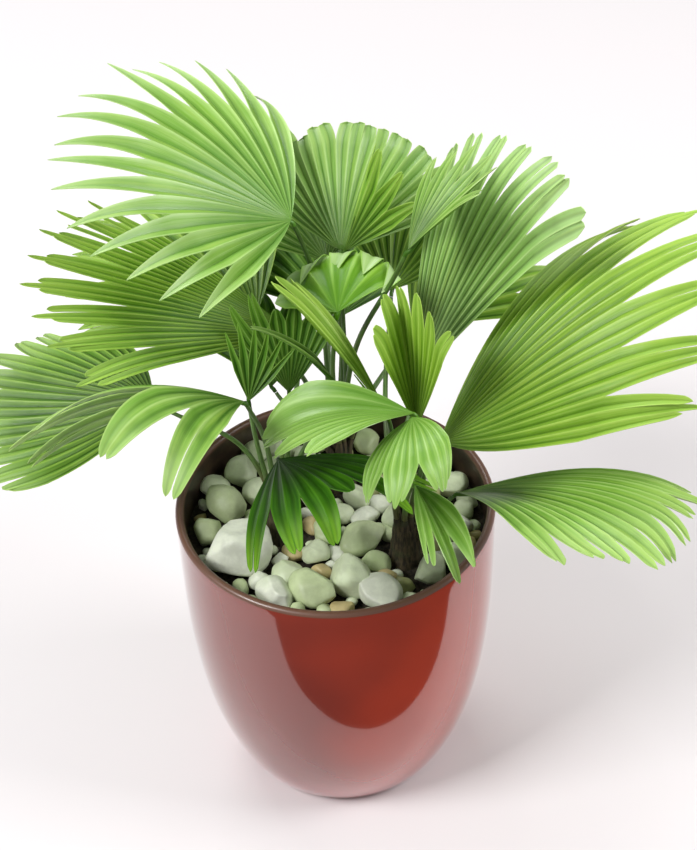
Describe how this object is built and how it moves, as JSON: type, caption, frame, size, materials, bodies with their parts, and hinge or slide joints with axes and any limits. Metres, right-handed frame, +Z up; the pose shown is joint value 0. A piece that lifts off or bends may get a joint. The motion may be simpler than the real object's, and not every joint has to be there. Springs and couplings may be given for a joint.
{
  "type": "chinese fan palm in a pot",
  "caption": "Chinese fan palm houseplant: fan-shaped pleated fronds on thin petioles from short stems, in a round red glazed pot with pebbles over the soil.",
  "frame": {"origin": "middle of the pot's flat underside, on the surface it stands on", "axes": "+Z up; -Y towards the front, where the view in the reference comes from; +X to the right of that view"},
  "size_m": [0.6018, 0.5303, 0.5868],
  "materials": {
    "glaze": "glossy red glaze outside, dark brown glaze on the rim and inside",
    "soil": "dark moist potting soil",
    "pebble": "pale green-white tumbled stones, matt",
    "stem": "brown fibrous leaf bases",
    "petiole": "satin green stalk",
    "leaf": "pleated green leaf, satin"
  },
  "bodies": {
    "root": {"pot": "glaze", "soil": "soil", "pebbles": "pebble", "stem_left": "stem", "stem_right": "stem", "stem_back": "stem", "petiole_high_left": "petiole", "petiole_top": "petiole", "petiole_top_inner": "petiole", "petiole_top_right": "petiole", "petiole_middle": "petiole", "petiole_right_tall": "petiole", "petiole_right_wide": "petiole", "petiole_right_low": "petiole", "petiole_front_left": "petiole", "petiole_left_young": "petiole", "petiole_front_broad": "petiole", "petiole_front_right": "petiole", "petiole_right_young": "petiole", "petiole_spear": "petiole", "petiole_slender": "petiole", "petiole_left_low": "petiole", "petiole_left_dark": "petiole", "petiole_inner_dark": "petiole", "petiole_front_dark": "petiole", "petiole_front_low": "petiole", "petiole_back_left": "petiole", "petiole_back_middle": "petiole", "petiole_back_right": "petiole", "petiole_back_high": "petiole", "petiole_back_inner": "petiole", "petiole_back_low": "petiole", "blade_high_left": "leaf", "blade_top": "leaf", "blade_top_inner": "leaf", "blade_top_right": "leaf", "blade_middle": "leaf", "blade_right_tall": "leaf", "blade_right_wide": "leaf", "blade_right_low": "leaf", "blade_front_left": "leaf", "blade_left_young": "leaf", "blade_front_broad": "leaf", "blade_front_right": "leaf", "blade_right_young": "leaf", "blade_spear": "leaf", "blade_slender": "leaf", "blade_left_low": "leaf", "blade_left_dark": "leaf", "blade_inner_dark": "leaf", "blade_front_dark": "leaf", "blade_front_low": "leaf", "blade_back_left": "leaf", "blade_back_middle": "leaf", "blade_back_right": "leaf", "blade_back_high": "leaf", "blade_back_inner": "leaf", "blade_back_low": "leaf"}
  },
  "joints": []
}
